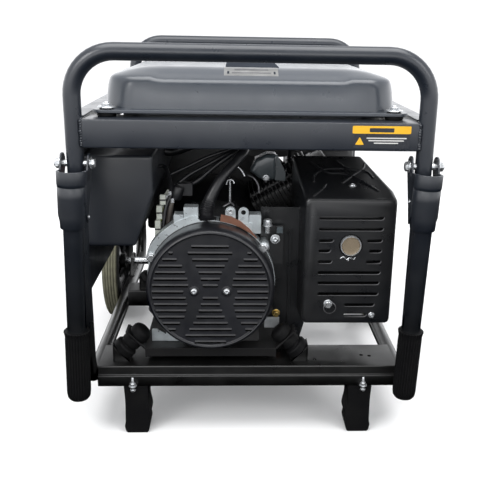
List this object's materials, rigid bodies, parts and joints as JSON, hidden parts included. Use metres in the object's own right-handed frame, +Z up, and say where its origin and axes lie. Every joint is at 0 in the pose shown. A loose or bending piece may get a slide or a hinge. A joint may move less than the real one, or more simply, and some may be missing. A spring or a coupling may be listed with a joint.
{
  "type": "portable generator",
  "caption": "Open-frame portable petrol generator on two wheels, with a fuel tank on top and fold-down lifting handles.",
  "frame": {"origin": "middle of the footprint's box, on the ground under the feet and wheels", "axes": "+Z up, +X to the right and +Y to the back, seen from the handle and alternator end"},
  "size_m": [0.63, 0.7296, 0.6246],
  "materials": {
    "frame_paint": "satin slate-black paint",
    "tank_paint": "semi-gloss slate paint",
    "black_steel": "matt black heat-proof paint",
    "panel_paint": "satin black paint",
    "zinc": "zinc plated",
    "cast_aluminium": "as cast, dull",
    "engine_paint": "satin black paint",
    "black_plastic": "moulded, lightly grained",
    "rubber": "matt",
    "tyre_rubber": "dusty rubber",
    "lamination": "varnished steel laminations",
    "red_plastic": "semi-gloss",
    "wire": "pale insulation in a sleeve"
  },
  "bodies": {
    "machine": {"front_hoop": "frame_paint", "rear_hoop": "frame_paint", "side_rail_left": "frame_paint", "side_rail_right": "frame_paint", "deck_rail_left": "frame_paint", "deck_rail_right": "frame_paint", "front_beam": "frame_paint", "rear_beam": "frame_paint", "front_sill": "frame_paint", "engine_cross_member": "frame_paint", "foot_left": "rubber", "foot_right": "rubber", "isolator_front_left": "rubber", "isolator_front_right": "rubber", "isolator_rear_left": "rubber", "isolator_rear_right": "rubber", "engine_bed": "black_steel", "axle": "zinc", "pivot_bolt_left": "zinc", "pivot_bolt_right": "zinc", "fuel_tank": "tank_paint", "tank_bolt_left": "zinc", "tank_bolt_right": "zinc", "fuel_valve": "cast_aluminium", "alternator_cover": "black_plastic", "end_bell": "cast_aluminium", "stator": "lamination", "crankcase": "engine_paint", "cylinder": "engine_paint", "valve_cover": "engine_paint", "recoil_cover": "engine_paint", "carburettor": "cast_aluminium", "air_filter": "black_plastic", "fuel_hose": "rubber", "muffler": "black_steel", "muffler_shield": "black_steel", "spark_arrestor": "zinc", "control_box": "panel_paint", "control_panel": "panel_paint", "outlet_front": "black_plastic", "outlet_rear": "black_plastic", "conduit": "black_plastic", "wiring_loom": "wire"},
    "wheel_left": {"rim_left": "black_steel", "tyre_left": "tyre_rubber"},
    "wheel_right": {"rim_right": "black_steel", "tyre_right": "tyre_rubber"},
    "handle_left": {"handle_fork_left": "frame_paint", "handle_tube_left": "frame_paint", "grip_left": "rubber"},
    "handle_right": {"handle_fork_right": "frame_paint", "handle_tube_right": "frame_paint", "grip_right": "rubber"},
    "cap": {"fuel_cap": "black_plastic"},
    "valve_lever": {"fuel_valve_lever": "red_plastic"},
    "choke": {"choke_lever": "zinc"},
    "starter_grip": {"recoil_grip": "black_plastic"},
    "rocker": {"engine_switch": "red_plastic"},
    "reset_button": {"breaker_button": "red_plastic"},
    "crankshaft": {"crankshaft_rotor": "lamination"}
  },
  "joints": [
    {"name": "wheel_left_spin", "type": "hinge", "parent": "machine", "child": "wheel_left", "pos_m": [-0.29525, 0.20535, 0.125], "axis": [1, 0, 0], "continuous": true},
    {"name": "wheel_right_spin", "type": "hinge", "parent": "machine", "child": "wheel_right", "pos_m": [0.29525, 0.20535, 0.125], "axis": [1, 0, 0], "continuous": true},
    {"name": "handle_left_fold", "type": "hinge", "parent": "machine", "child": "handle_left", "pos_m": [-0.2573, -0.31265, 0.453], "axis": [-1, 0, 0], "range_deg": [0, 75]},
    {"name": "handle_right_fold", "type": "hinge", "parent": "machine", "child": "handle_right", "pos_m": [0.2573, -0.31265, 0.453], "axis": [-1, 0, 0], "range_deg": [0, 75]},
    {"name": "fuel_cap_turn", "type": "hinge", "parent": "machine", "child": "cap", "pos_m": [0, 0.01985, 0.6], "axis": [0, 0, 1], "range_deg": [0, 90]},
    {"name": "fuel_valve_turn", "type": "hinge", "parent": "machine", "child": "valve_lever", "pos_m": [0, 0.24735, 0.452], "axis": [0, 1, 0], "range_deg": [0, 90]},
    {"name": "choke_turn", "type": "hinge", "parent": "machine", "child": "choke", "pos_m": [0.14, 0.07135, 0.38], "axis": [0, 0, -1], "range_deg": [0, 40]},
    {"name": "starter_pull", "type": "slide", "parent": "machine", "child": "starter_grip", "axis": [0, 1, 0], "range_m": [0, 0.6]},
    {"name": "engine_switch_rock", "type": "hinge", "parent": "machine", "child": "rocker", "pos_m": [-0.2643, -0.20265, 0.42], "axis": [0, -1, 0], "range_deg": [0, 16]},
    {"name": "breaker_press", "type": "slide", "parent": "machine", "child": "reset_button", "axis": [1, 0, 0], "range_m": [0, 0.003], "stiffness_N_per_m": 300},
    {"name": "crankshaft_spin", "type": "hinge", "parent": "machine", "child": "crankshaft", "pos_m": [-0.062, -0.31265, 0.25], "axis": [0, 1, 0], "continuous": true}
  ]
}
